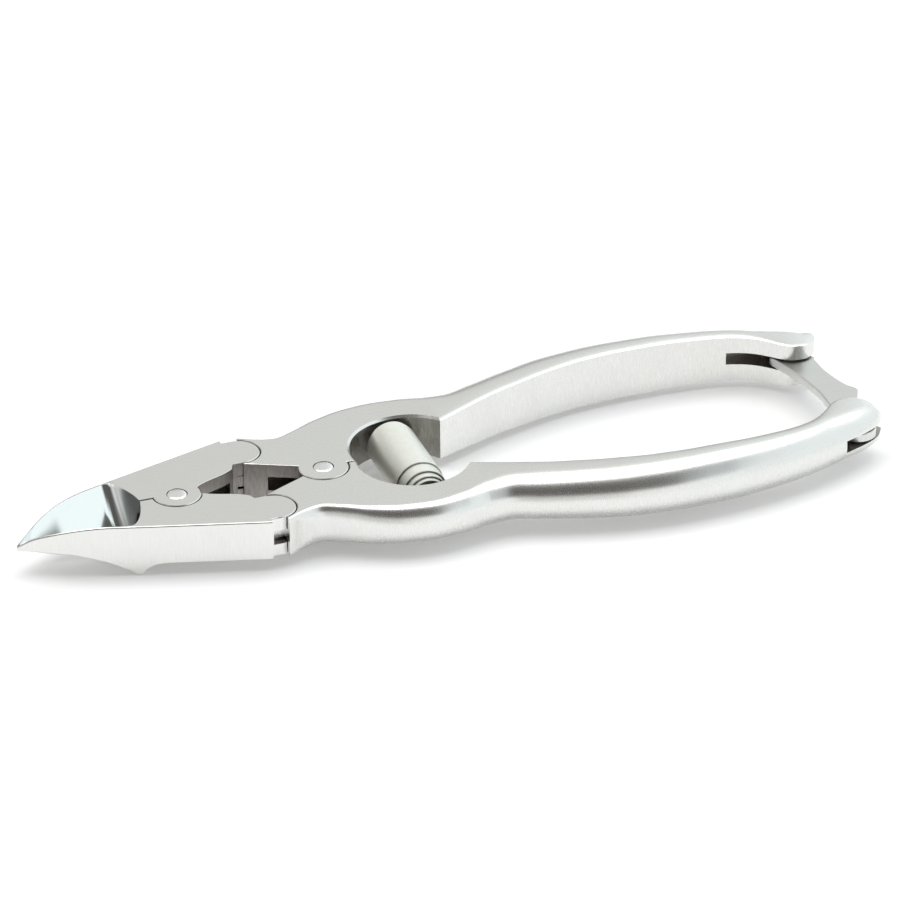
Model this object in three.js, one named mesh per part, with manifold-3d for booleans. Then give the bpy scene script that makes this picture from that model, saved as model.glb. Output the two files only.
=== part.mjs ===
// Double-action nail nipper, closed and locked. Millimetres, +Z up, +X from the cutting tip to the handle
// ends, +Y to the far jaw and handle. It is laid out round the front rivet, with z = 0 in the middle of the
// plate, and moved at the end so that the origin is under the middle of the whole tool.
import * as THREE from 'three';
import { mergeVertices } from 'three/addons/utils/BufferGeometryUtils.js';
import Module from 'manifold-3d';

const wasm = await Module();
wasm.setup();

// Driving dimensions
const plateHalf = 3.4; // half of the plate thickness
const leafHalf = 1.0; // half of the middle leaf, the tongue of each joint
const gap = 0.3; // running gap between pieces
const slotHalf = leafHalf + gap; // half of the slot that takes a tongue
const seam = gap / 2; // each half keeps this distance to the middle line
const rivetRadius = 1.55;
const jawBoss = 3.75; // round boss at the front rivet
const handleBoss = 3.95; // round boss at the rear rivet
const knuckle = 3.5; // round end of each jaw tail
const frontPivot = new THREE.Vector2(0, 0);
const rearPivot = new THREE.Vector2(24, 0);
const linkPivot = new THREE.Vector2(12.82, 9.0); // mirrored for the near side
const pocket = { x: 38.45, y: 1.6, radius: 9.1 }; // hollow that takes the spring, on each handle
const springAxisX = 38.1;
const springRadius = 4.0;
const springStep = 0.4; // each turn of the strip is this much smaller than the one round it
const springFarEnd = 9.2;
const springNearEnds = [-5, -7.4, -8.5, -9.3]; // how far each turn reaches, from the outer one inwards
const springBore = 1.5;
const studRadius = 1.1;
const studLength = 5.8;
const studMiddle = 10.3; // of the stud's length, from the middle line
const pinRadius = 1.5;
const handleEndX = 112.6;
const farEnd = { shift: -0.5, length: 0.6, drop: 0.5 }; // the far lug stops short and square
const nearEnd = { shift: 0.75, length: 2.6, drop: 2.2 }; // the near handle ends in a round nose
const latchPivot = new THREE.Vector2(109, -13.3);
const catchPoint = new THREE.Vector2(107.2, 11.7);
const latchHalf = 0.75; // half of the latch plate's thickness
const latchSlotHalf = 1.05;
const smallPinRadius = 1.0;
const latchRatio = -3.5; // latch degrees for each degree of the handles
const roundSegments = 36;
const pinSegments = 20;
const deep = 10; // further than any piece is thick
const blindPinHalf = 2.6; // half length of a pin that stops inside its fork
const latchPinHalf = 2.3;

// Materials
const satin = new THREE.MeshStandardMaterial({ color: 0xc9c8c4, roughness: 0.38, metalness: 1 });
const groundFace = new THREE.MeshStandardMaterial({ color: 0xd4d3ce, roughness: 0.32, metalness: 1 });
const polished = new THREE.MeshStandardMaterial({ color: 0xdcdcda, roughness: 0.15, metalness: 1 });
const springSteel = new THREE.MeshStandardMaterial({ color: 0xbdbfb4, roughness: 0.42, metalness: 1 });

const group = new THREE.Group();

// Solids
function solid(geometry) {
  const bare = geometry.clone();
  bare.deleteAttribute('normal');
  bare.deleteAttribute('uv');
  const merged = mergeVertices(bare, 1e-4);
  const mesh = new wasm.Mesh({
    numProp: 3,
    vertProperties: new Float32Array(merged.attributes.position.array),
    triVerts: new Uint32Array(merged.index.array),
  });
  return new wasm.Manifold(mesh);
}

function addPiece(name, body, material) {
  const result = body.getMesh();
  const geometry = new THREE.BufferGeometry();
  geometry.setAttribute('position', new THREE.BufferAttribute(new Float32Array(result.vertProperties), 3));
  geometry.setIndex(new THREE.BufferAttribute(new Uint32Array(result.triVerts), 1));
  geometry.computeVertexNormals();
  const mesh = new THREE.Mesh(geometry, material);
  mesh.name = name;
  group.add(mesh);
}

// Upright round bar or disc, from z = low to z = high.
function disc(centre, radius, low, high, segments = roundSegments) {
  const bar = new THREE.CylinderGeometry(radius, radius, high - low, segments);
  bar.rotateX(Math.PI / 2);
  bar.translate(centre.x, centre.y, (low + high) / 2);
  return solid(bar);
}

function block(x0, x1, y0, y1, z0, z1) {
  const box = new THREE.BoxGeometry(x1 - x0, y1 - y0, z1 - z0);
  box.translate((x0 + x1) / 2, (y0 + y1) / 2, (z0 + z1) / 2);
  return solid(box);
}

// Flat plate of the given outline, centred on z = 0.
function plate(shape, halfThickness) {
  const settings = { depth: 2 * halfThickness, bevelEnabled: false, curveSegments: 12 };
  const flat = new THREE.ExtrudeGeometry(shape, settings);
  flat.translate(0, 0, -halfThickness);
  return solid(flat);
}

// Closed skin over a row of cross-sections, each a ring of the same number of points.
function loft(rings) {
  const size = rings[0].length;
  const positions = rings.flat().flatMap((point) => [point.x, point.y, point.z]);
  const faces = [];
  for (let ring = 0; ring < rings.length - 1; ring += 1) {
    for (let i = 0; i < size; i += 1) {
      const a = ring * size + i;
      const b = ring * size + ((i + 1) % size);
      faces.push(a, b, b + size, a, b + size, a + size);
    }
  }
  for (const [start, flip] of [[0, true], [(rings.length - 1) * size, false]]) {
    const contour = rings[start / size].map((point) => new THREE.Vector2(point.y, point.z));
    for (const [i, j, k] of THREE.ShapeUtils.triangulateShape(contour, [])) {
      faces.push(start + i, start + (flip ? k : j), start + (flip ? j : k));
    }
  }
  const geometry = new THREE.BufferGeometry();
  geometry.setAttribute('position', new THREE.BufferAttribute(new Float32Array(positions), 3));
  geometry.setIndex(faces);
  return solid(geometry);
}

// Smooth value along x through [x, value] points, without overshoot between them.
function along(points) {
  const slopes = points.map((point, i) => {
    if (i === 0 || i === points.length - 1) return 0;
    const before = (point[1] - points[i - 1][1]) / (point[0] - points[i - 1][0]);
    const after = (points[i + 1][1] - point[1]) / (points[i + 1][0] - point[0]);
    return before * after <= 0 ? 0 : (2 * before * after) / (before + after);
  });
  const last = points.length - 1;
  slopes[0] = (points[1][1] - points[0][1]) / (points[1][0] - points[0][0]);
  slopes[last] = (points[last][1] - points[last - 1][1]) / (points[last][0] - points[last - 1][0]);
  return (x) => {
    let i = 0;
    while (i < last - 1 && x > points[i + 1][0]) i += 1;
    const width = points[i + 1][0] - points[i][0];
    const t = THREE.MathUtils.clamp((x - points[i][0]) / width, 0, 1);
    const s = 1 - t;
    return points[i][1] * s * s * (1 + 2 * t) + slopes[i] * width * s * s * t
      + points[i + 1][1] * t * t * (3 - 2 * t) - slopes[i + 1] * width * t * t * s;
  };
}

// x values from start to end, about one step apart, through each of the given corners.
function stations(corners, step) {
  const list = [];
  for (let i = 0; i < corners.length - 1; i += 1) {
    const count = Math.max(1, Math.round((corners[i + 1] - corners[i]) / step));
    for (let k = 0; k < count; k += 1) {
      list.push(THREE.MathUtils.lerp(corners[i], corners[i + 1], k / count));
    }
  }
  list.push(corners[corners.length - 1]);
  return list;
}

const mirrored = (body) => body.mirror([0, 1, 0]);
const nearLink = new THREE.Vector2(linkPivot.x, -linkPivot.y);

// Jaws
// Each jaw is a wedge: flat on top, upright on the outside, sharpened from a deep heel to a fine tip.
const jawTipX = -26;
const jawHeelX = -8.3;
const jawRearX = 11.2;
const tailRootX = 3.9; // the tails part behind the front boss
const jawOutside = along([
  [jawTipX, 0.3], [-24, 1.3], [-22, 2.55], [-20, 3.65], [-18, 4.55], [-16, 5.3], [-14, 5.95],
  [jawRearX, 13.4],
]);
const jawTop = along([
  [jawTipX, -0.75], [-24, 0.7], [-22, 1.65], [-20, 2.35], [-18, 2.87], [-16, 3.2], [-13, plateHalf],
  [jawRearX, plateHalf],
]);
const jawBottom = along([
  [jawTipX, -1.4], [-22, -1.45], [-19, -1.5], [-16.3, -2.05], [-13.4, -2.95], [-10.4, -4.3],
  [jawHeelX, -5.3], [-7.9, -4.75], [-7.3, -4.2], [-6.4, -3.7], [-5.2, -3.45], [-4, -plateHalf],
  [jawRearX, -plateHalf],
]);
const tailInside = along([
  [jawTipX, seam], [-4, seam], [3, seam], [tailRootX, 1.2], [10.4, 4.35], [10.9, 5.5], [jawRearX, 5.5],
]);
const edgeChamfer = 0.4;

function jawBlank() {
  const fineStep = 1.4;
  const corners = [jawTipX, -20, jawHeelX, -5, -4, 3, tailRootX, 10.4, 10.9, jawRearX];
  const rings = stations(corners, fineStep).map((x) => {
    const inside = tailInside(x);
    const outside = jawOutside(x);
    const low = jawBottom(x);
    const high = jawTop(x);
    const chamfer = Math.min(edgeChamfer, (outside - inside) / 3, (high - low) / 3);
    const upper = [[outside, high - chamfer], [outside - chamfer, high], [inside, high]];
    const section = [[inside, low], [outside, low], ...upper];
    return section.map(([y, z]) => new THREE.Vector3(x, y, z));
  });
  const tail = disc(linkPivot, knuckle, -plateHalf, plateHalf);
  const bridge = block(10.4, linkPivot.x, 5.5, linkPivot.y + knuckle, -plateHalf, plateHalf);
  return loft(rings).add(tail).add(bridge);
}

// Hollow ground into both jaws from above: a scoop whose lowest line is the cutting edges.
const bowlStartX = -25.7;
const bowlFullX = -10.2;
const bowlRearX = -6.05;
const rimLand = 0.35;
const edgeLand = 0.4;
const hollow = 0.2; // 0 is a flat bevel, 1 a quarter round
const bowlRear = along([
  [bowlFullX, 6.75], [-9.2, 6.7], [-8.6, 6.3], [-8, 5.5], [-7.3, 4.2], [-6.8, 2.9], [-6.4, 1.7],
  [bowlRearX, 0.02],
]);

function bowlCutter() {
  const arcSteps = 6;
  const above = 8;
  const rings = stations([bowlStartX, -20, bowlFullX, -8, bowlRearX - 0.02], 1.1).map((x) => {
    const run = Math.max(0, (x - bowlFullX) / (bowlRearX - bowlFullX));
    const rear = Math.sqrt(1 - run * run);
    const half = x > bowlFullX ? bowlRear(x) : Math.max(0.02, jawOutside(x) - rimLand);
    const rim = jawTop(x) - 0.12;
    const depth = Math.max(0.02, (rim - jawBottom(Math.min(x, jawHeelX)) - edgeLand) * rear);
    const side = [];
    for (let i = 0; i <= arcSteps; i += 1) {
      const s = i / arcSteps;
      const quarter = (s * Math.PI) / 2;
      const y = half * ((1 - hollow) * (1 - s) + hollow * Math.cos(quarter));
      const z = rim - depth * ((1 - hollow) * s + hollow * Math.sin(quarter));
      side.push([y, z]);
    }
    const other = side.slice(0, -1).map(([y, z]) => [-y, z]);
    const section = [[half, above], [-half, above], ...other, ...side.reverse()];
    return section.map(([y, z]) => new THREE.Vector3(x, y, z));
  });
  return loft(rings);
}

const bowl = bowlCutter();
// Relief behind the cutting edges, where the middle leaf is cut back to the tongue.
const relief = block(-9.5, -3, -0.5, 0.5, -leafHalf - 0.1, leafHalf + 0.1);

function jawWithBores(body, link) {
  const pinBore = disc(link, pinRadius + gap, -blindPinHalf - gap, blindPinHalf + gap, pinSegments);
  const linkSlot = disc(link, knuckle + gap, -slotHalf, slotHalf);
  const rivetBore = disc(frontPivot, rivetRadius + gap, -deep, deep, pinSegments);
  return body.subtract(bowl).subtract(relief).subtract(linkSlot).subtract(pinBore).subtract(rivetBore);
}

// The far jaw is the fork: its boss is seen above and below, and the middle is slotted.
const forkBoss = disc(frontPivot, jawBoss, -plateHalf, plateHalf);
const milled = block(2, 9.9, 0, 6.5, -slotHalf, slotHalf); // the slot runs on into the tail
const tongueSlot = disc(frontPivot, jawBoss + gap, -slotHalf, slotHalf).add(milled);
addPiece('jaw_far', jawWithBores(jawBlank().add(forkBoss).subtract(tongueSlot), linkPivot), groundFace);

// The near jaw is the tongue: only its middle leaf goes round the rivet.
function leafOnly(centre, radius) {
  const above = disc(centre, radius, leafHalf, deep);
  const below = disc(centre, radius, -deep, -leafHalf);
  return above.add(below);
}
const jawTongue = disc(frontPivot, jawBoss, -leafHalf, leafHalf);
const nearJaw = mirrored(jawBlank()).subtract(leafOnly(frontPivot, jawBoss + gap)).add(jawTongue);
addPiece('jaw_near', jawWithBores(nearJaw, nearLink), groundFace);

// Handles
// Plate in front, with the joint leaves and the spring hollow, growing into a D-section grip and, at the end,
// a lug.
const handleFrontX = 12.6;
const handleCornerX = 13.9;
const pocketLeftX = pocket.x - pocket.radius;
const pocketCorner = new THREE.Vector2(45.85, 6.9);
const handleOutside = along([
  [handleFrontX, 13.7], [handleCornerX, 13.45], [16.5, 12.5], [19.5, 12.1], [23, 13.6], [27, 15.9],
  [32, 17.7], [37, 18.3], [42, 17.7], [46, 16.95], [49, 16.9], [54, 18.4], [60, 20.3], [68, 22.2],
  [76, 22.9], [84, 22.6], [92, 21.6], [100, 19.8], [106, 17.7], [109.5, 16.1], [111.5, 14.6],
  [handleEndX, 12.6],
]);
const gripInside = along([
  [pocketCorner.x, pocketCorner.y], [53.8, 10.35], [57.7, 11.9], [61.6, 13.1], [65.4, 14.25],
  [69.2, 15.15], [73, 15.85], [80, 16.4], [87, 16.4], [93.7, 15.9], [97.5, 15.3], [100.3, 14.4],
  [102.4, 13.2], [104.1, 11.7], [105.7, 10.1], [107.3, 9.2], [109.2, 9.1], [111, 9.9], [112, 11],
  [handleEndX, 12.3],
]);
const handleHalf = along([
  [handleFrontX, plateHalf], [36, plateHalf], [46, 3.75], [54, 4.05], [61.6, 4.25], [69, 4.45],
  [77, 4.52], [84, 4.5], [92, 4.3], [100, 4.1], [108, 3.8], [handleEndX, 3.3],
]);
// How far the outer edge is rounded over, across and down.
const roundAcross = along([
  [handleFrontX, 0.35], [17, 0.45], [24, 2.0], [30, 3.0], [42, 3.2], [49, 4.6], [56, 5.6], [66, 5.1],
  [80, 4.9], [92, 4.3], [104, 4.3], [110, 3.8], [handleEndX, 0.1],
]);
const roundDown = along([
  [handleFrontX, 0.35], [17, 0.45], [24, 2.0], [30, 3.0], [42, 3.3], [50, 3.85], [60, 4.2], [77, 4.5],
  [92, 4.28], [104, 3.9], [handleEndX, 2.2],
]);

function handleInside(x) {
  if (x < 20.35) return THREE.MathUtils.mapLinear(x, handleFrontX, 20.35, 5.2, 1.57);
  if (x < rearPivot.x) return THREE.MathUtils.mapLinear(x, 20.35, rearPivot.x, 1.57, seam);
  if (x <= pocketLeftX) return seam;
  if (x < pocketCorner.x) return pocket.y + Math.sqrt(pocket.radius ** 2 - (x - pocket.x) ** 2);
  return gripInside(x);
}

// The end is a shape of its own on each handle: it is shifted along x and rounded down over its last length.
function handleBlank(end) {
  const arcSteps = 6;
  const shiftStartX = 106;
  const shiftLength = handleEndX - shiftStartX;
  const pocketX = [0, 14, 28, 43, 60, 78, 96, 113, 129].map((angle) => {
    return pocket.x - pocket.radius * Math.cos(THREE.MathUtils.degToRad(angle)) + 0.02;
  });
  const front = stations([handleFrontX, 17, 20.35, rearPivot.x, pocketLeftX], 1.8);
  const grip = stations([pocketCorner.x, 53.8, 65.4, 80, 97.5], 2.6).concat(stations([98.4, 109.8], 1.0));
  const tip = stations([110, 111.4, handleEndX], 0.35);
  const rings = [...front, ...pocketX, ...grip, ...tip].map((x) => {
    const inside = handleInside(x);
    const outside = Math.max(handleOutside(x), inside + 0.3);
    const moved = x + end.shift * Math.max(0, (x - shiftStartX) / shiftLength) ** 2;
    const run = Math.max(0, 1 - (handleEndX - x) / end.length);
    const half = handleHalf(x) - end.drop * (1 - Math.sqrt(1 - run * run));
    const chamfer = Math.min(edgeChamfer, (outside - inside) / 4);
    const across = Math.min(roundAcross(x), (outside - inside) * 0.72);
    const down = Math.min(roundDown(x), half - 0.01);
    const upper = [[inside, half - chamfer], [inside + chamfer, half]];
    for (let i = 0; i <= arcSteps; i += 1) {
      const turn = (i / arcSteps) * (Math.PI / 2);
      const y = outside - across + across * Math.sin(turn);
      upper.push([y, half - down + down * Math.cos(turn)]);
    }
    const lower = upper.map(([y, z]) => [y, -z]);
    return [...upper.reverse(), ...lower].map(([y, z]) => new THREE.Vector3(moved, y, z));
  });
  return loft(rings);
}

const frontTrim = block(0, handleCornerX, 11, 20, -deep, deep);
const latchSlotStart = 97.9;

function handleWithJoint(body, link) {
  const pinBore = disc(link, pinRadius + gap, -deep, deep, pinSegments);
  const rivetBore = disc(rearPivot, rivetRadius + gap, -deep, deep, pinSegments);
  return body.subtract(pinBore).subtract(rivetBore);
}

function handleHalfPiece(end) {
  const tongue = disc(linkPivot, knuckle, -leafHalf, leafHalf);
  const body = handleBlank(end).subtract(frontTrim).subtract(leafOnly(linkPivot, knuckle + gap)).add(tongue);
  const studHole = new THREE.CylinderGeometry(studRadius + gap, studRadius + gap, studLength, pinSegments);
  studHole.translate(springAxisX, studMiddle + gap, 0);
  return body.subtract(solid(studHole));
}

const handleFork = disc(rearPivot, handleBoss, -plateHalf, plateHalf);
const milledAhead = block(16, rearPivot.x, 0, 6.5, -slotHalf, slotHalf);
const handleSlot = disc(rearPivot, handleBoss + gap, -slotHalf, slotHalf).add(milledAhead);
const catchSlotDeep = block(latchSlotStart, 104, 0, 17, -latchSlotHalf, latchSlotHalf);
const catchSlot = block(latchSlotStart, 120, 0, 14.6, -latchSlotHalf, latchSlotHalf).add(catchSlotDeep);
const latchBoreHalf = latchPinHalf + gap;
const catchBore = disc(catchPoint, smallPinRadius + gap, -latchBoreHalf, latchBoreHalf, pinSegments);
const farHandle = handleWithJoint(handleHalfPiece(farEnd).add(handleFork).subtract(handleSlot), linkPivot);
addPiece('handle_far', farHandle.subtract(catchSlot).subtract(catchBore), satin);

const handleTongue = disc(rearPivot, handleBoss, -leafHalf, leafHalf);
const nearBlank = mirrored(handleHalfPiece(nearEnd));
const nearBody = nearBlank.subtract(leafOnly(rearPivot, handleBoss + gap)).add(handleTongue);
const pivotSlot = block(105.2, 120, -30, 0, -latchSlotHalf, latchSlotHalf);
const pivotBore = disc(latchPivot, smallPinRadius + gap, -latchBoreHalf, latchBoreHalf, pinSegments);
const nearHandle = handleWithJoint(nearBody, nearLink).subtract(pivotSlot).subtract(pivotBore);
addPiece('handle_near', nearHandle, satin);

// Rivets and pins
// Low domed ends, turned with the shank between them.
function rivet(centre, radius, halfLength, dome) {
  const profile = [[0, -halfLength], [radius * 0.75, -halfLength + dome * 0.35], [radius, -halfLength + dome],
    [radius, halfLength - dome], [radius * 0.75, halfLength - dome * 0.35], [0, halfLength]];
  const turned = new THREE.LatheGeometry(profile.map(([r, z]) => new THREE.Vector2(r, z)), pinSegments);
  turned.rotateX(Math.PI / 2);
  turned.translate(centre.x, centre.y, 0);
  return solid(turned);
}

const rivetHalf = plateHalf + 0.08; // the heads stand just proud of the plate
const rivetDome = 0.15;
const pinDome = 0.2;
addPiece('front_rivet', rivet(frontPivot, rivetRadius, rivetHalf, rivetDome), polished);
addPiece('rear_rivet', rivet(rearPivot, rivetRadius, rivetHalf, rivetDome), polished);
addPiece('link_pin_far', rivet(linkPivot, pinRadius, blindPinHalf, pinDome), polished);
addPiece('link_pin_near', rivet(nearLink, pinRadius, blindPinHalf, pinDome), polished);
addPiece('catch_pin', rivet(catchPoint, smallPinRadius, latchPinHalf, pinDome), polished);
addPiece('latch_pin', rivet(latchPivot, smallPinRadius, latchPinHalf, pinDome), polished);

// Spring
// One strip wound into a telescoping barrel, drawn here as its outer shape with the open middle.
const springProfile = [[springBore, springNearEnds.at(-1)]];
for (let turn = springNearEnds.length - 1; turn >= 0; turn -= 1) {
  const radius = springRadius - turn * springStep;
  const covered = turn > 0 ? springNearEnds[turn - 1] : springFarEnd; // the next turn out starts here
  springProfile.push([radius, springNearEnds[turn]], [radius, covered]);
}
springProfile.push([springBore, springFarEnd], springProfile[0]);
const barrel = new THREE.LatheGeometry(springProfile.map(([r, y]) => new THREE.Vector2(r, y)), 28);
barrel.translate(springAxisX, 0, 0);
addPiece('barrel_spring', solid(barrel), springSteel);

// Studs that the spring's ends sit on, each pressed into the wall of its hollow.
function springStud(side) {
  const stud = new THREE.CylinderGeometry(studRadius, studRadius, studLength, pinSegments);
  stud.translate(springAxisX, side * studMiddle, 0);
  return solid(stud);
}
addPiece('spring_stud_far', springStud(1), polished);
addPiece('spring_stud_near', springStud(-1), polished);

// Latch
// Flat curved plate that turns on its pin in the near handle and hooks over the catch pin in the far handle.
const latchEye = 2.9;
const latchOutline = new THREE.Shape();
latchOutline.moveTo(106.4, -14.2);
latchOutline.splineThru([[107.2, -8], [107.45, -2], [106.95, 2.4], [105.8, 7.2], [104.7, 10.6], [104.2, 12.6]]
  .map(([x, y]) => new THREE.Vector2(x, y)));
latchOutline.lineTo(104.9, 13.9);
latchOutline.lineTo(108.2, 14.2);
latchOutline.lineTo(110.3, 12.6);
latchOutline.splineThru([[110.75, 9.6], [110.9, 5.8], [111.5, 2.4], [112.4, -0.5], [113.6, -2.6]]
  .map(([x, y]) => new THREE.Vector2(x, y)));
latchOutline.lineTo(112.1, -6.2);
latchOutline.lineTo(111.7, -12.6);
latchOutline.lineTo(106.4, -14.2);

// The notch is the path that the catch pin takes out of the hook as the handles open.
function catchPath(handleDegrees) {
  const opened = catchPoint.clone().rotateAround(rearPivot, THREE.MathUtils.degToRad(handleDegrees));
  const latchTurn = THREE.MathUtils.degToRad(latchRatio * handleDegrees);
  return opened.rotateAround(latchPivot, -latchTurn);
}
const eye = disc(latchPivot, latchEye, -latchHalf, latchHalf, pinSegments);
let latch = plate(latchOutline, latchHalf).add(eye);
for (let degrees = 0; degrees <= 3; degrees += 0.25) {
  latch = latch.subtract(disc(catchPath(degrees), smallPinRadius + gap, -deep, deep, pinSegments));
}
latch = latch.subtract(disc(latchPivot, smallPinRadius + gap, -deep, deep, pinSegments));
addPiece('lock_latch', latch, satin);

// Origin under the middle of the closed tool
const box = new THREE.Box3().setFromObject(group);
group.position.set(-(box.min.x + box.max.x) / 2, -(box.min.y + box.max.y) / 2, -box.min.z);
group.updateMatrixWorld(true);

export default group;
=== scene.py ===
import math

import bmesh
import bpy
from mathutils import Matrix, Vector


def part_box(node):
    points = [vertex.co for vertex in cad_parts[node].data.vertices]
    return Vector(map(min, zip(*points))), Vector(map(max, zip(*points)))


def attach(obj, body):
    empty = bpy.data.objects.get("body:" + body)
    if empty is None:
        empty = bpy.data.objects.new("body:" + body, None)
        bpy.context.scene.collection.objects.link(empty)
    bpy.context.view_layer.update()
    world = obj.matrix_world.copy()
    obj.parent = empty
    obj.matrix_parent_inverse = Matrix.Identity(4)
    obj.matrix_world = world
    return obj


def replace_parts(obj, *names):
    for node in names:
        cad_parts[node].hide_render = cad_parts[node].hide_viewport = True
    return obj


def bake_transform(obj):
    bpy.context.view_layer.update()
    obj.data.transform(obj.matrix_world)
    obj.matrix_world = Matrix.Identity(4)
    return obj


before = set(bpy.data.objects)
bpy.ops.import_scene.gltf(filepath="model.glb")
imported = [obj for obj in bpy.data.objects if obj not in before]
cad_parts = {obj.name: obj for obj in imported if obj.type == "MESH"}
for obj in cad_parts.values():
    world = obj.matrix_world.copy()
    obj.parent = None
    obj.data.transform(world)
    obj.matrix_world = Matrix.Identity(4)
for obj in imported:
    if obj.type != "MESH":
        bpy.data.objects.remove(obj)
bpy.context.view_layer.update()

scene = bpy.context.scene
scene.view_settings.view_transform = "Standard"


# Studio. The nipper lies on a plain white sweep and is looked down on from in front of its jaws, through
# a long lens. The camera stands about a metre away.
front_rivet_low, front_rivet_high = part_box("front_rivet")
front_middle = (front_rivet_low + front_rivet_high) / 2
aim = front_middle + Vector((0.04621, 0.00333, 0.0))
camera_azimuth = math.radians(-19.509)
camera_elevation = math.radians(30.178)
camera_roll = math.radians(-0.53)
camera_distance = 1.0267
camera_data = bpy.data.cameras.new("camera")
camera_data.sensor_width = 36
camera_data.lens = 260
camera = bpy.data.objects.new("camera", camera_data)
scene.collection.objects.link(camera)
scene.camera = camera
level = math.cos(camera_elevation)
backwards = Vector((math.sin(camera_azimuth) * level, -math.cos(camera_azimuth) * level,
                    math.sin(camera_elevation)))
camera.location = aim + camera_distance * backwards
looking = (-backwards).to_track_quat("-Z", "Y").to_matrix() @ Matrix.Rotation(camera_roll, 3, "Z")
camera.rotation_euler = looking.to_euler()


class Signal:
    """One output of a node tree that Python's own operators work on."""

    def __init__(self, finish, socket):
        self.finish = finish
        self.socket = socket

    def math(self, operation, first, second):
        return self.finish.node("ShaderNodeMath", {"operation": operation}, {0: first, 1: second})

    def __add__(self, other):
        return self.math("ADD", self, other)

    __radd__ = __add__

    def __sub__(self, other):
        return self.math("SUBTRACT", self, other)

    def __rsub__(self, other):
        return self.math("SUBTRACT", other, self)

    def __mul__(self, other):
        return self.math("MULTIPLY", self, other)

    __rmul__ = __mul__


class Finish:
    """A node tree with one method that adds any node, sets it and links it."""

    def __init__(self, name, owner=None, **constants):
        self.material = owner or bpy.data.materials.new(name)
        self.material.use_nodes = True
        self.tree = self.material.node_tree
        self.shader = self.tree.nodes.get("Principled BSDF") or self.tree.nodes["Background"]
        for socket, value in constants.items():
            self.shader.inputs[socket.replace("_", " ")].default_value = value

    def node(self, kind, settings=None, inputs=None, output=0):
        made = self.tree.nodes.new(kind)
        for key, value in (settings or {}).items():
            setattr(made, key, value)
        for key, value in (inputs or {}).items():
            self.feed(made.inputs[key], value)
        return Signal(self, made.outputs[output])

    def feed(self, socket, value):
        if isinstance(value, Signal):
            self.tree.links.new(value.socket, socket)
        else:
            socket.default_value = value

    def smooth_step(self, value, low, high):
        """0 below low, 1 above high, with a soft rise between them."""
        settings = {"interpolation_type": "SMOOTHSTEP"}
        return self.node("ShaderNodeMapRange", settings, {0: value, 1: low, 2: high})

    def mix(self, share, first, second):
        """Blend two colours."""
        return self.node("ShaderNodeMix", {"data_type": "RGBA"}, {0: share, 6: first, 7: second}, output=2)

    def parts(self, vector):
        split = self.node("ShaderNodeSeparateXYZ", inputs={0: vector})
        outputs = split.socket.node.outputs
        return [Signal(self, outputs[axis]) for axis in range(3)]


floor_size = 6.0
floor_shape = bmesh.new()
bmesh.ops.create_grid(floor_shape, x_segments=8, y_segments=8, size=floor_size / 2)
floor_mesh = bpy.data.meshes.new("floor")
floor_shape.to_mesh(floor_mesh)
floor = bpy.data.objects.new("floor", floor_mesh)
scene.collection.objects.link(floor)
paper = Finish("white_paper", Roughness=0.9)
paper.shader.inputs["Specular IOR Level"].default_value = 0.1
place = paper.node("ShaderNodeTexCoord", output=3)
fibre = paper.node("ShaderNodeTexNoise", inputs={"Vector": place, "Scale": 60.0, "Detail": 3.0})
paper.feed(paper.shader.inputs["Base Color"], paper.mix(fibre, (0.88, 0.885, 0.90, 1), (0.90, 0.90, 0.90, 1)))
paper.shader.inputs["Emission Color"].default_value = (1.0, 0.985, 0.965, 1)
paper.shader.inputs["Emission Strength"].default_value = 0.16
floor.data.materials.append(paper.material)

# The room as the steel sees it. Behind and to the right there are pale walls, in front a low bright screen,
# and over the camera the room is dark, so that every round edge shows a light line above a dark band.
world = bpy.data.worlds.new("room")
scene.world = world
room = Finish("room", owner=world)
direction = room.node("ShaderNodeTexCoord", output=0)
rightward, depth, height = room.parts(direction)
rear_wall = room.mix(room.smooth_step(height, 0.05, 0.42), (0.22, 0.215, 0.205, 1), (0.71, 0.715, 0.695, 1))
dark_room = room.mix(room.smooth_step(rightward, -0.9, -0.4), (0.22, 0.22, 0.22, 1), (0.10, 0.095, 0.09, 1))
screen = room.smooth_step(height, 0.46, 0.28) * room.smooth_step(depth, 0.1, -0.3)
screen_side = room.smooth_step(rightward, -0.4, 0.35)
screen_light = room.mix(screen_side, (0.70, 0.695, 0.68, 1), (1.20, 1.19, 1.17, 1))
camera_side = room.mix(screen, dark_room, screen_light)
around = room.mix(room.smooth_step(depth, 0.06, 0.38), camera_side, rear_wall)
right_wall = room.smooth_step(rightward, 0.24, 0.52)
room.feed(room.shader.inputs["Color"], room.mix(right_wall, around, (1.00, 1.07, 1.08, 1)))

# A wide soft box hangs over the nipper, a little behind it, and faces it.
soft_box_place = Vector((0.0, 0.13, 0.78))
soft_box_light = bpy.data.lights.new("soft_box_above", "AREA")
soft_box_light.shape = "RECTANGLE"
soft_box_light.size = 1.1
soft_box_light.size_y = 0.55
soft_box_light.energy = 4.9
soft_box_light.color = (1.0, 0.995, 0.985)
soft_box = bpy.data.objects.new("soft_box_above", soft_box_light)
soft_box.location = soft_box_place
soft_box.rotation_euler = (-soft_box_place).to_track_quat("-Z", "Y").to_euler()
scene.collection.objects.link(soft_box)


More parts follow.
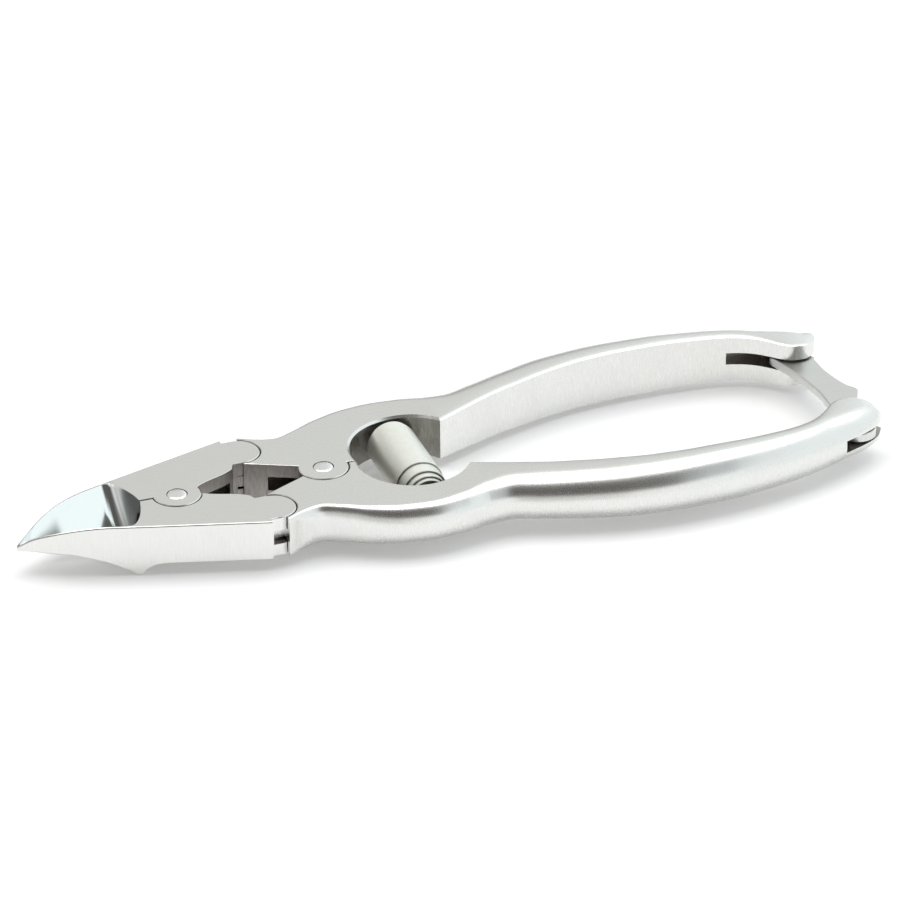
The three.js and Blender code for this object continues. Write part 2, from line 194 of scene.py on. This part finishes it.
# Jaws. Two mirrored steel forgings, ground flat above and below and hollow-ground between them to a
# cutting edge. Behind the front rivet each tail ends in a fork round the handle's tongue.
millimetre = 0.001
to_frame = Matrix.Translation(front_middle) @ Matrix.Scale(millimetre, 4)  # sizes below are in millimetres
front = (0.0, 0.0)
plate_half = 3.4
leaf_half = 1.0
slot_low = -1.3  # the forks' slots reach from here
slot_high = 1.15  # to here
slot_low_deepest = 1.35  # every flat face nearer to the middle than this is inside a joint
slot_width_half = 1.05  # the latch's slots
rear = (24.0, 0.0)
handle_boss = 3.95
seam = 0.15
play = 0.2  # gap round each boss and knuckle
deep = 10.0
link = (12.82, 9.0)
near_link = (link[0], -link[1])
knuckle = 3.5
jaw_boss = 3.75
bore = 1.65
edge_break = 0.12
jaw_tip_x = -26.0
jaw_heel_x = -8.3
jaw_rear_x = 11.2
tail_corner_x = 10.4
tail_inner_y = 5.5


def along(points):
    """A smooth value along x through (x, value) points, without overshoot between them."""
    rises = [(b[1] - a[1]) / (b[0] - a[0]) for a, b in zip(points, points[1:])]
    slopes = [rises[0]]
    for before, after in zip(rises, rises[1:]):
        slopes.append(2 * before * after / (before + after) if before * after > 0 else 0)
    slopes.append(rises[-1])

    def value(x):
        i = 0
        while i < len(points) - 2 and x > points[i + 1][0]:
            i += 1
        width = points[i + 1][0] - points[i][0]
        t = min(1, max(0, (x - points[i][0]) / width))
        s = 1 - t
        return (points[i][1] * s * s * (1 + 2 * t) + slopes[i] * width * s * s * t
                + points[i + 1][1] * t * t * (3 - 2 * t) - slopes[i + 1] * width * t * t * s)

    return value


def stations(corners, step):
    """Values from the first corner to the last, about one step apart, through every corner."""
    values = []
    for start, end in zip(corners, corners[1:]):
        count = max(1, round((end - start) / step))
        values += [start + (end - start) * k / count for k in range(count)]
    return values + [corners[-1]]


def faced_out(shape):
    """Close the doubles of a new solid and turn its faces outwards."""
    bmesh.ops.remove_doubles(shape, verts=shape.verts[:], dist=1e-4)
    bmesh.ops.recalc_face_normals(shape, faces=shape.faces[:])
    return shape


def swept(rings):
    """The solid that one section sweeps: the first ring's face is extruded through the rings after it."""
    shape = bmesh.new()
    face = shape.faces.new([shape.verts.new(point) for point in rings[0]])
    inner = []
    for ring in rings[1:]:
        pushed = bmesh.ops.extrude_face_region(shape, geom=[face])["geom"]
        face = next(item for item in pushed if isinstance(item, bmesh.types.BMFace))
        for loop, point in zip(face.loops, ring):
            loop.vert.co = point
        inner.append(face)
    bmesh.ops.delete(shape, geom=inner[:-1], context="FACES_ONLY")
    return faced_out(shape)


def boxed(low, high):
    """A plain rectangular cutter."""
    x0, y0, z0 = low
    x1, y1, z1 = high
    return swept([[(x, y0, z0), (x, y1, z0), (x, y1, z1), (x, y0, z1)] for x in (x0, x1)])


def turned(profile, centre=(0, 0), steps=72):
    """The solid that a (radius, height) profile turns round an upright axis."""
    shape = bmesh.new()
    line = [shape.verts.new((radius, 0, height)) for radius, height in profile]
    edges = [shape.edges.new(pair) for pair in zip(line, line[1:])]
    bmesh.ops.spin(shape, geom=line + edges, cent=(0, 0, 0), axis=(0, 0, 1), angle=2 * math.pi, steps=steps,
                   use_merge=True)
    bmesh.ops.translate(shape, verts=shape.verts[:], vec=(*centre, 0))
    return faced_out(shape)


def round_leaf(centre, radius, half, broken=edge_break):
    """A round leaf of a joint with its two edges broken."""
    return turned([(0, -half), (radius - broken, -half), (radius, broken - half), (radius, half - broken),
                   (radius - broken, half), (0, half)], centre)


def round_slot(centre, radius, low, high):
    """A cutter for a round slot or bore."""
    return turned([(0, low), (radius, low), (radius, high), (0, high)], centre)


def corner_cut(centre, radius, side, broken=edge_break):
    """A cutter that clears the plate above (side 1) or below (side -1) a leaf and breaks its edge."""
    profile = [(0, leaf_half), (radius, leaf_half), (radius, plate_half - broken),
               (radius + 2 * broken, plate_half + broken), (radius + 2 * broken, deep), (0, deep)]
    return turned([(r, side * z) for r, z in profile], centre)


def through_bore(centre, radius, broken=0.03):
    """A cutter for a bore through the plate, slightly countersunk at both faces."""
    wide = radius + 2 * broken
    lower = [(wide, -deep), (wide, -plate_half - broken), (radius, broken - plate_half)]
    upper = [(r, -z) for r, z in reversed(lower)]
    return turned([(0, -deep), *lower, *upper, (0, deep)], centre, steps=48)


def as_object(shape):
    mesh = bpy.data.meshes.new("shape")
    shape.to_mesh(mesh)
    shape.free()
    made = bpy.data.objects.new("shape", mesh)
    scene.collection.objects.link(made)
    return made


def worked(body, joined, removed):
    """body with solids joined to it and then others cut away."""
    work = as_object(body)
    tools = []
    for operation, shapes in (("UNION", joined), ("DIFFERENCE", removed)):
        for shape in shapes:
            tools.append(as_object(shape))
            cut = work.modifiers.new("cut", "BOOLEAN")
            cut.operation = operation
            cut.solver = "MANIFOLD"
            cut.object = tools[-1]
    bpy.context.view_layer.update()
    mesh = bpy.data.meshes.new_from_object(work.evaluated_get(bpy.context.evaluated_depsgraph_get()))
    result = bmesh.new()
    result.from_mesh(mesh)
    bpy.data.meshes.remove(mesh)
    for used in [work, *tools]:
        bpy.data.meshes.remove(used.data)
    return result


def piece(name, shape, finishes, sharp=28):
    """A finished piece in the frame, smooth except over edges sharper than the given degrees."""
    bmesh.ops.dissolve_degenerate(shape, dist=1e-5, edges=shape.edges[:])
    bmesh.ops.transform(shape, matrix=to_frame, verts=shape.verts[:])
    bmesh.ops.recalc_face_normals(shape, faces=shape.faces[:])
    for face in shape.faces:
        face.smooth = True
    for edge in shape.edges:
        edge.smooth = len(edge.link_faces) == 2 and edge.calc_face_angle() < math.radians(sharp)
    made = as_object(shape)
    made.name = name
    made.data.name = name
    for finish in finishes:
        made.data.materials.append(finish.material)
    weighted = made.modifiers.new("weighted", "WEIGHTED_NORMAL")
    weighted.keep_sharp = True
    return made


def mirrored(shape):
    bmesh.ops.scale(shape, vec=(1, -1, 1), verts=shape.verts[:])
    return faced_out(shape)


jaw_outside = along([(jaw_tip_x, 0.3), (-24, 1.3), (-22, 2.55), (-20, 3.65), (-18, 4.55), (-16, 5.3),
                     (-14, 5.95), (jaw_rear_x, 13.4)])
jaw_top = along([(jaw_tip_x, -0.75), (-24, 0.7), (-22, 1.65), (-20, 2.35), (-18, 2.87), (-16, 3.2),
                 (-13, plate_half), (jaw_rear_x, plate_half)])
jaw_bottom = along([(jaw_tip_x, -1.4), (-22, -1.45), (-19, -1.5), (-16.3, -2.05), (-13.4, -2.95),
                    (-10.4, -4.3), (jaw_heel_x, -5.3), (-7.9, -4.75), (-7.3, -4.2), (-6.4, -3.7),
                    (-5.2, -3.45), (-4, -plate_half), (jaw_rear_x, -plate_half)])
tail_inside = along([(jaw_tip_x, seam), (-4, seam), (3, seam), (3.9, 1.2), (tail_corner_x, 4.35),
                     (10.9, tail_inner_y), (jaw_rear_x, tail_inner_y)])


def rounded(corner_y, corner_z, across, down, out_y, out_z, steps):
    """Points over one rounded corner of a section, from its flat side to its upright side."""
    points = []
    for i in range(steps + 1):
        turn = math.pi / 2 * i / steps
        y = corner_y - out_y * across * (1 - math.sin(turn))
        z = corner_z - out_z * down * (1 - math.cos(turn))
        points.append((y, z))
    return points


def jaw_ring(x):
    inside, outside, low, high = tail_inside(x), jaw_outside(x), jaw_bottom(x), jaw_top(x)
    soft = min(0.3, (outside - inside) / 3, (high - low) / 3)
    fine = min(0.06, (outside - inside) / 6)
    section = [(inside, high - fine), (inside + fine, high)]
    section += rounded(outside, high, soft, soft, 1, 1, 4)
    section += list(reversed(rounded(outside, low, soft, soft, 1, -1, 3)))
    section += [(inside + fine, low), (inside, low + fine)]
    return [(x, y, z) for y, z in section]


def jaw_blank():
    blade = stations([jaw_tip_x, -20, jaw_heel_x], 0.4)
    tail = stations([-8.1, -5, -4, 3, 3.9, tail_corner_x, 10.9, jaw_rear_x], 0.45)
    return swept([jaw_ring(x) for x in blade + tail])


def tail_bridge():
    """The short stretch of outer edge between the wedge and the round end of a tail."""
    soft = 0.2
    outside = link[1] + knuckle
    section = [(tail_inner_y, plate_half)]
    section += rounded(outside, plate_half, soft, soft, 1, 1, 3)
    section += list(reversed(rounded(outside, -plate_half, soft, soft, 1, -1, 3)))
    section += [(tail_inner_y, -plate_half)]
    return swept([[(x, y, z) for y, z in section] for x in (tail_corner_x, link[0])])


bowl_start_x = -25.7
bowl_full_x = -10.2
bowl_rear_x = -6.05
rim_land = 0.35
edge_land = 0.4
hollow = 0.2  # 0 is a flat bevel, 1 a quarter round
bowl_rear = along([(bowl_full_x, 6.75), (-9.2, 6.7), (-8.6, 6.3), (-8, 5.5), (-7.3, 4.2), (-6.8, 2.9),
                   (-6.4, 1.7), (bowl_rear_x, 0.02)])


def bowl_half(x):
    return bowl_rear(x) if x > bowl_full_x else max(0.02, jaw_outside(x) - rim_land)


def bowl_cutter():
    """A cutter for the hollow of both jaws, whose floor rises in a quarter round to its rear wall."""
    steps = 22
    rear_steps = 20
    rise_length = bowl_rear_x - bowl_full_x
    quarter_turns = [math.pi / 2 * k / rear_steps for k in range(rear_steps)]
    front_part = stations([bowl_start_x, -20, bowl_full_x], 0.35)[:-1]
    rear_part = [bowl_rear_x - rise_length * (1 - math.sin(turn)) for turn in quarter_turns]
    rings = []
    for x in front_part + rear_part + [bowl_rear_x - 0.004]:
        run = max(0, (x - bowl_full_x) / rise_length)
        half = bowl_half(x)
        rim = jaw_top(x) - 0.06
        bottom = jaw_bottom(min(x, jaw_heel_x)) + edge_land
        depth = max(0.02, (rim - bottom) * math.sqrt(1 - run * run))
        side = []
        for i in range(steps + 1):
            s = i / steps
            quarter = s * math.pi / 2
            side.append((half * ((1 - hollow) * (1 - s) + hollow * math.cos(quarter)),
                         rim - depth * ((1 - hollow) * s + hollow * math.sin(quarter))))
        section = [(half, deep), (-half, deep)] + [(-y, z) for y, z in side[:-1]] + side[::-1]
        rings.append([(x, y, z) for y, z in section])
    return swept(rings)


relief = (-9.5, -0.5, -1.1), (-3, 0.5, 1.1)  # a narrow slot behind the cutting edges


def brushed(name, colour, roughness, stretches, grain):
    """Steel with fine grinding lines, stretched one way on the flat faces and another on the walls."""
    steel = Finish(name, Metallic=1.0)
    steel.shader.inputs["IOR"].default_value = 2.4
    place = steel.node("ShaderNodeTexCoord", output=3)
    normal = steel.node("ShaderNodeNewGeometry", output=1)
    _, _, up = steel.parts(normal)
    flat = steel.smooth_step(up * up, 0.35, 0.7)
    lines = []
    for stretch in stretches:
        laid = steel.node("ShaderNodeMapping", inputs={"Vector": place, "Scale": stretch})
        lines.append(steel.node("ShaderNodeTexNoise", inputs={"Vector": laid, "Scale": 1.0, "Detail": 4.0,
                                                              "Roughness": 0.65}))
    streaks = lines[0] * flat + lines[1] * (1 - flat)
    cloud = steel.node("ShaderNodeTexNoise", inputs={"Vector": place, "Scale": 140.0, "Detail": 3.0})
    shade = steel.smooth_step(streaks * 0.75 + cloud * 0.25, 0.3, 0.7)
    dark = tuple(channel * (1 - 0.09 * grain) for channel in colour)
    light = tuple(min(1, channel * (1 + 0.05 * grain)) for channel in colour)
    steel.feed(steel.shader.inputs["Base Color"], steel.mix(shade, (*dark, 1), (*light, 1)))
    steel.feed(steel.shader.inputs["Roughness"], roughness + (0.5 - shade) * 0.12 * grain)
    groove_depth = 0.00004
    relief_of_lines = {"Strength": 0.12 * grain, "Distance": groove_depth, "Height": streaks}
    steel.feed(steel.shader.inputs["Normal"], steel.node("ShaderNodeBump", inputs=relief_of_lines))
    return steel


along_x_and_up = ((500, 9000, 9000), (9000, 9000, 500))
polishing_marks = ((1500, 1500, 1500), (1500, 1500, 1500))
cutter_marks = ((5000, 5000, 600), (5000, 5000, 600))
ground_steel = brushed("ground_steel", (0.80, 0.798, 0.78), 0.25, along_x_and_up, 0.5)
# The hollow is polished smoother, and its pale cyan, brighter colour is a painted reflection.
mirror_steel_painted_reflection = brushed("mirror_hollow_painted_reflection", (0.87, 0.90, 0.90), 0.12, polishing_marks, 0.12)
# The walls of the joints, slots and openings are rough machined steel; their dark colour is painted shade.
rough_wall_painted_shade = brushed("machined_wall_painted_shade", (0.42, 0.40, 0.38), 0.42, cutter_marks, 2.0)


def in_bowl(x, y, z):
    off_rim = abs(y) < jaw_outside(x) - rim_land + 0.02 and abs(y) > seam + 0.02
    return x < bowl_rear_x + 0.3 and off_rim and jaw_bottom(x) + 0.05 < z < jaw_top(x) - 0.03


def in_opening(x, y, z):
    return 3.2 < x < 23 and abs(y) < 8.2


def in_gap(x, y, z):
    """True for the walls of the joints, the bores and the seam, which the cutters left rough and which get
    painted shade.
    """
    rounds = [(front, jaw_boss), (rear, handle_boss), (link, knuckle), (near_link, knuckle),
              (front, bore), (rear, bore)]
    on_round = any(-0.1 < math.dist((x, y), centre) - radius < play + 0.1 for centre, radius in rounds)
    on_seam = abs(y) < seam + 0.05 and bowl_rear_x < x < 29
    return (on_round and abs(y) < 11) or on_seam


def finish_faces(shape, hollowed, milled_and_shaded):
    """Give the hollow its own finish, which carries a painted reflection in the jaws and painted shade in the
    spring hollow, and the walls of the joints, slots and openings a rough one darkened with painted shade.
    """
    for face in shape.faces:
        x, y, z = face.calc_center_median()
        upright = abs(z) < plate_half - 0.1 and abs(face.normal.z) < 0.3
        if hollowed(x, y, z):
            face.material_index = 1
        elif upright and any(test(x, y, z) for test in milled_and_shaded):
            face.material_index = 2
        # Flat faces inside a joint get the same dark colour, painted shade between the parts.
        elif abs(z) < slot_low_deepest and abs(face.normal.z) > 0.9:
            face.material_index = 2
    return shape


jaw_finishes = [ground_steel, mirror_steel_painted_reflection, rough_wall_painted_shade]
fork_boss = round_leaf(front, jaw_boss, plate_half)
fork_neck = boxed((2, 0, slot_low), (9.9, 6.5, slot_high))
far_shape = worked(jaw_blank(), [round_leaf(link, knuckle, plate_half), tail_bridge(), fork_boss], [
    bowl_cutter(), boxed(*relief),
    round_slot(front, jaw_boss + play, slot_low, slot_high),
    fork_neck,
    round_slot(link, knuckle + play, slot_low, slot_high),
    through_bore(front, bore)])
far_jaw = piece("far_jaw", finish_faces(far_shape, in_bowl, [in_opening, in_gap]), jaw_finishes)
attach(far_jaw, "jaw_far")
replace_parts(far_jaw, "jaw_far")

near_blank = worked(jaw_blank(), [round_leaf(link, knuckle, plate_half), tail_bridge()], [])
near_shape = worked(mirrored(near_blank), [round_leaf(front, jaw_boss, leaf_half)], [
    corner_cut(front, jaw_boss + play, 1), corner_cut(front, jaw_boss + play, -1),
    bowl_cutter(), boxed(*relief),
    round_slot(near_link, knuckle + play, slot_low, slot_high),
    through_bore(front, bore)])
near_jaw = piece("near_jaw", finish_faces(near_shape, in_bowl, [in_opening, in_gap]), jaw_finishes)
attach(near_jaw, "jaw_near")
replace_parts(near_jaw, "jaw_near")


# Handles. Two mirrored forgings: a flat plate with the joint leaves and the spring hollow in front, a
# D-section grip behind it, and a slotted end. The far one ends in a square lug, the near one in a nose.
handle_front_x = 12.6
handle_corner_x = 13.9
handle_end_x = 112.6
pocket = (38.45, 1.6)
pocket_radius = 9.1
corner = (45.85, 6.9)
handle_outside = along([(handle_front_x, 13.7), (handle_corner_x, 13.45), (16.5, 12.5), (19.5, 12.1),
                        (23, 13.6), (27, 15.9), (32, 17.7), (37, 18.3), (42, 17.7), (46, 16.95), (49, 16.9),
                        (54, 18.4), (60, 20.3), (68, 22.2), (76, 22.9), (84, 22.6), (92, 21.6), (100, 19.8),
                        (106, 17.7), (109.5, 16.1), (111.5, 14.6), (handle_end_x, 12.6)])
grip_inside = along([corner, (53.8, 10.35), (57.7, 11.9), (61.6, 13.1), (65.4, 14.25), (69.2, 15.15),
                     (73, 15.85), (80, 16.4), (87, 16.4), (93.7, 15.9), (97.5, 15.3), (100.3, 14.4),
                     (102.4, 13.2), (104.1, 11.7), (105.7, 10.1), (107.3, 9.2), (109.2, 9.1), (111, 9.9),
                     (112, 11), (handle_end_x, 12.3)])
handle_half = along([(handle_front_x, plate_half), (36, plate_half), (46, 3.75), (54, 4.05), (61.6, 4.25),
                     (69, 4.45), (77, 4.52), (84, 4.5), (92, 4.3), (100, 4.1), (108, 3.8),
                     (handle_end_x, 3.3)])
round_across = along([(handle_front_x, 0.3), (15.5, 0.7), (18, 1.2), (24, 1.9), (30, 2.5), (42, 2.8),
                      (49, 4.2), (56, 5.0), (66, 5.0), (80, 4.9), (92, 4.3), (104, 4.3), (110, 3.8),
                      (handle_end_x, 0.1)])
round_down = along([(handle_front_x, 0.3), (15.5, 1.0), (18, 2.2), (24, 3.0), (30, 3.3), (42, 3.3),
                    (50, 3.85), (60, 4.2), (77, 4.5), (92, 4.28), (104, 3.9), (handle_end_x, 2.2)])
inner_chamfer = along([(handle_front_x, 0.1), (40, 0.12), (44, 0.3), (47, 0.6), (54, 0.55), (100, 0.5),
                       (110, 0.4), (handle_end_x, 0.1)])
front_edge_y = 5.2
tongue_end = (20.35, 1.57)


def handle_inside(x):
    tongue_x, tongue_y = tongue_end
    if x < tongue_x:
        return front_edge_y - (x - handle_front_x) / (tongue_x - handle_front_x) * (front_edge_y - tongue_y)
    if x < rear[0]:
        return tongue_y - (x - tongue_x) / (rear[0] - tongue_x) * (tongue_y - seam)
    if x < 36:
        return seam
    if x < corner[0]:
        return max(seam, (x - 36) / (corner[0] - 36) * 6)
    return grip_inside(x)


def handle_blank(shift, length, drop):
    """A handle without its joints. Its end is shifted, and rounded down over its last length."""
    rings = []
    shifted_from_x = 106
    plate_corners = [handle_front_x, handle_corner_x, 17, tongue_end[0], rear[0], 36, 45, corner[0] - 0.02]
    plate = stations(plate_corners, 0.6)
    grip = stations([corner[0], 53.8, 97.5, 109.8], 0.7) + stations([110, 111.4, handle_end_x], 0.15)
    for x in plate + grip:
        inside = handle_inside(x)
        outside = max(handle_outside(x), inside + 0.3)
        moved = x + shift * max(0, (x - shifted_from_x) / (handle_end_x - shifted_from_x)) ** 2
        run = max(0, 1 - (handle_end_x - x) / length)
        half = handle_half(x) - drop * (1 - math.sqrt(1 - run * run))
        inner = min(inner_chamfer(x), (outside - inside) / 4)
        across = min(round_across(x), (outside - inside) * 0.72)
        down = min(round_down(x), half - 0.01)
        upper = [(inside, half - inner * 0.5), (inside + inner * 1.5, half)]
        upper += rounded(outside, half, across, down, 1, 1, 16)
        section = upper + [(y, -z) for y, z in reversed(upper)]
        rings.append([(moved, y, z) for y, z in section])
    return swept(rings)


pocket_chamfer = 0.35


def pocket_cutter():
    """The round hollow for the spring, with its edge chamfered where it meets the swelling faces."""
    wide = pocket_radius + pocket_chamfer
    upper = [(wide, plate_half + 0.9), (wide, plate_half), (pocket_radius, plate_half - pocket_chamfer)]
    lower = [(r, -z) for r, z in reversed(upper)]
    shape = turned([(0, deep), (wide, deep), *upper, *lower, (wide, -deep), (0, -deep)], pocket, steps=160)
    for vert in shape.verts:
        if abs(vert.co.z) < plate_half + 1:
            vert.co.z += math.copysign(handle_half(vert.co.x) - plate_half, vert.co.z)
    return shape


pocket_marks = ((5000, 5000, 500), (5000, 5000, 500))
# The spring hollow's wall is rough machined steel, and its dark colour is painted shade.
pocket_wall_painted_shade = brushed("pocket_wall_painted_shade", (0.35, 0.335, 0.31), 0.34, pocket_marks, 1.6)


def in_pocket(x, y, z):
    on_wall = abs(math.dist((x, abs(y)), pocket) - pocket_radius) < 0.12
    return on_wall and abs(z) < handle_half(x) - pocket_chamfer


def in_slot(x, y, z):
    """True for the walls of the latch slots, well inside the grip's own skin."""
    sunk = handle_inside(x) + 0.3 < abs(y) < min(17.5, handle_outside(x) - 0.3)
    return sunk and abs(z) < slot_width_half + 0.02 and x > (97.8 if y > 0 else 105.1)


spring_x = 38.1
stud_radius = 1.1
satin_steel = brushed("satin_steel", (0.79, 0.788, 0.77), 0.28, along_x_and_up, 0.5)


def laid_along_y(shape, start_y):
    """Lay an upright turned shape along the spring's axis, from start_y outwards."""
    lying = Matrix.Rotation(-math.pi / 2, 3, "X")
    bmesh.ops.rotate(shape, verts=shape.verts[:], cent=(0, 0, 0), matrix=lying)
    bmesh.ops.translate(shape, verts=shape.verts[:], vec=(spring_x, start_y, 0))
    return shape


def plain_handle(shift, length, drop):
    """A far handle with its spring hollow and its tongue at the side link, but nothing at the rear rivet."""
    trim = boxed((0, 11, -deep), (handle_corner_x, 20, deep))
    stud_hole = laid_along_y(round_slot((0, 0), stud_radius + 0.15, 0, 3.2), 10.2)
    cuts = [pocket_cutter(), trim, corner_cut(link, knuckle + play, 1), corner_cut(link, knuckle + play, -1),
            stud_hole]
    return worked(handle_blank(shift, length, drop), [round_leaf(link, knuckle, leaf_half)], cuts)


catch_slot = [boxed((97.9, 0, -slot_width_half), (104, 17, slot_width_half)),
              boxed((103.9, 0, -slot_width_half), (120, 14.6, slot_width_half))]
fork_throat = boxed((16, 0, slot_low), (rear[0], 6.5, slot_high))
far_blank = plain_handle(shift=-0.5, length=0.6, drop=0.5)
far_shape = worked(far_blank, [round_leaf(rear, handle_boss, plate_half)], [
    round_slot(rear, handle_boss + play, slot_low, slot_high), fork_throat,
    through_bore(rear, bore), *catch_slot])
handle_finishes = [satin_steel, pocket_wall_painted_shade, rough_wall_painted_shade]
handle_cuts = [in_opening, in_gap, in_slot]
far_handle = piece("far_handle", finish_faces(far_shape, in_pocket, handle_cuts), handle_finishes)
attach(far_handle, "handle_far")
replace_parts(far_handle, "handle_far")

pivot_slot = boxed((105.2, -30, -slot_width_half), (120, 0, slot_width_half))
near_blank = mirrored(plain_handle(shift=0.75, length=2.6, drop=2.2))
near_shape = worked(near_blank, [round_leaf(rear, handle_boss, leaf_half)], [
    corner_cut(rear, handle_boss + play, 1), corner_cut(rear, handle_boss + play, -1),
    through_bore(rear, bore), pivot_slot])
near_handle = piece("near_handle", finish_faces(near_shape, in_pocket, handle_cuts), handle_finishes)
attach(near_handle, "handle_near")
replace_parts(near_handle, "handle_near")


# Rivets. Turned steel, pressed through the plates and headed over to a low polished dome.
buffing_marks = ((3000, 3000, 3000), (3000, 3000, 3000))
polished_steel = brushed("polished_steel", (0.88, 0.88, 0.87), 0.20, buffing_marks, 0.5)


def rivet(name, centre, body):
    radius = 1.55
    half = plate_half + 0.08
    upper = [(0, half), (radius * 0.5, half - 0.02), (radius * 0.8, half - 0.06),
             (radius * 0.93, half - 0.11), (radius, half - 0.2)]
    lower = [(r, -z) for r, z in reversed(upper)]
    made = piece(name, turned(upper + lower, centre, steps=64), [polished_steel], sharp=50)
    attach(made, body)
    return made


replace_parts(rivet("front_rivet_headed", front, "jaw_near"), "front_rivet")
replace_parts(rivet("rear_rivet_headed", rear, "handle_near"), "rear_rivet")


# Hidden pins. Plain ground pins that stop inside their forks: two join the jaws to the handles, two hold
# and catch the latch.
for name in ("link_pin_far", "link_pin_near", "catch_pin", "latch_pin"):
    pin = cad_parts[name]
    pin.data.materials.clear()
    pin.data.materials.append(polished_steel.material)


# Spring. One long strip of spring steel, rolled up so that each inner turn reaches further towards the
# near handle. Its ends sit over a turned stud in each hollow.
spring_steel = brushed("spring_steel", (0.80, 0.81, 0.76), 0.50, ((900, 900, 5000), (5000, 900, 5000)), 0.6)
strip_thickness = 0.22
outer_radius = 4.0
turn_step = 0.36
turn_count = 4.2
near_reach = along([(0, -4.8), (0.6, -5.0), (1.1, -5.1), (1.35, -7.2), (2.1, -7.5), (2.35, -8.3),
                    (3.1, -8.6), (3.35, -9.1), (turn_count, -9.3)])
far_reach = along([(0, 8.2), (0.25, 8.5), (0.5, 8.0), (0.8, 8.4), (1.1, 8.8), (1.5, 9.1), (2.2, 9.0),
                   (turn_count, 8.6)])


def strip_ring(turn):
    """The strip's section after so many turns: a thin rectangle with soft edges, standing on its radius."""
    angle = 2 * math.pi * turn + math.radians(215)
    radius = outer_radius - strip_thickness / 2 - turn_step * max(0, turn - 0.8)
    near, far = near_reach(turn), far_reach(turn)
    soft = 0.07
    half = strip_thickness / 2
    section = []
    for u, v in ((-half, soft), (soft - half, 0), (half - soft, 0), (half, soft)):
        section.append((radius + u, near + v))
    length_steps = 6
    for k in range(1, length_steps):
        section.append((radius + half, near + (far - near) * k / length_steps))
    for u, v in ((half, soft), (half - soft, 0), (soft - half, 0), (-half, soft)):
        section.append((radius + u, far - v))
    return [(spring_x + r * math.cos(angle), y, r * math.sin(angle)) for r, y in section]


strip_steps = 64
strip = swept([strip_ring(k / strip_steps) for k in range(round(turn_count * strip_steps) + 1)])
spring = piece("rolled_spring", strip, [spring_steel])
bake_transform(spring)
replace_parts(spring, "barrel_spring")


def spring_stud(name, side, body):
    profile = [(0, 0), (0.75, 0), (1.0, 0.12), (stud_radius, 0.4), (stud_radius, 5.6), (0.95, 5.8), (0, 5.8)]
    stud = laid_along_y(turned(profile, steps=40), 7.4)
    if side < 0:
        stud = mirrored(stud)
    made = piece(name + "_turned", stud, [polished_steel])
    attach(made, body)
    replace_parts(made, name)


spring_stud("spring_stud_far", 1, "handle_far")
spring_stud("spring_stud_near", -1, "handle_near")


# Latch. A flat curved plate, blanked from sheet and satin ground. It turns in the near handle's slot and
# its notch hooks over the catch pin in the far handle.
latch_pivot = Vector((109, -13.3))
catch_point = Vector((107.2, 11.7))
latch_half = 0.75
latch_ratio = -3.5
latch_inner = along([(-14.2, 106.4), (-8, 107.2), (-2, 107.45), (2.4, 106.95), (7.2, 105.8),
                     (10.6, 104.7), (12.6, 104.2), (13.5, 104.5), (14.1, 105.3)])
latch_outer = along([(-14.2, 110.6), (-12.6, 111.7), (-6.2, 112.1), (-2.65, 113.5), (-2.5, 113.55),
                     (-0.5, 112.4), (2.4, 111.5), (5.8, 110.9), (9.6, 110.75), (12.6, 110.3),
                     (13.5, 109.4), (14.1, 108.2)])


def latch_ring(y):
    left, right = latch_inner(y), latch_outer(y)
    left_edge = [(left + 0.16 - across, z) for z, across in ((-latch_half, 0), (0.13 - latch_half, 0.12),
                                                             (0.3 - latch_half, 0.16))]
    left_side = left_edge + [(x, -z) for x, z in reversed(left_edge)]
    right_edge = [(right - 0.12, latch_half), (right, latch_half - 0.12)]
    right_side = right_edge + [(x, -z) for x, z in reversed(right_edge)]
    return [(x, y, z) for x, z in left_side + right_side]


latch_blank = swept([latch_ring(y) for y in stations([-14.2, -6.2, -2.65, -2.5, 12.6, 14.1], 0.35)])
notch = []
for step in range(13):
    degrees = 0.25 * step
    opened = (catch_point - Vector(rear))
    opened.rotate(Matrix.Rotation(math.radians(degrees), 2))
    back = Vector(rear) + opened - latch_pivot
    back.rotate(Matrix.Rotation(math.radians(-latch_ratio * degrees), 2))
    notch.append(round_slot(tuple(latch_pivot + back), 1.3, -deep, deep))
latch_shape = worked(latch_blank, [round_leaf(tuple(latch_pivot), 2.9, latch_half)],
                     notch + [round_slot(tuple(latch_pivot), 1.15, -deep, deep)])
latch_steel = brushed("latch_steel", (0.70, 0.70, 0.685), 0.32, along_x_and_up, 0.8)
latch = piece("latch_plate", latch_shape, [latch_steel])
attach(latch, "latch")
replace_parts(latch, "lock_latch")
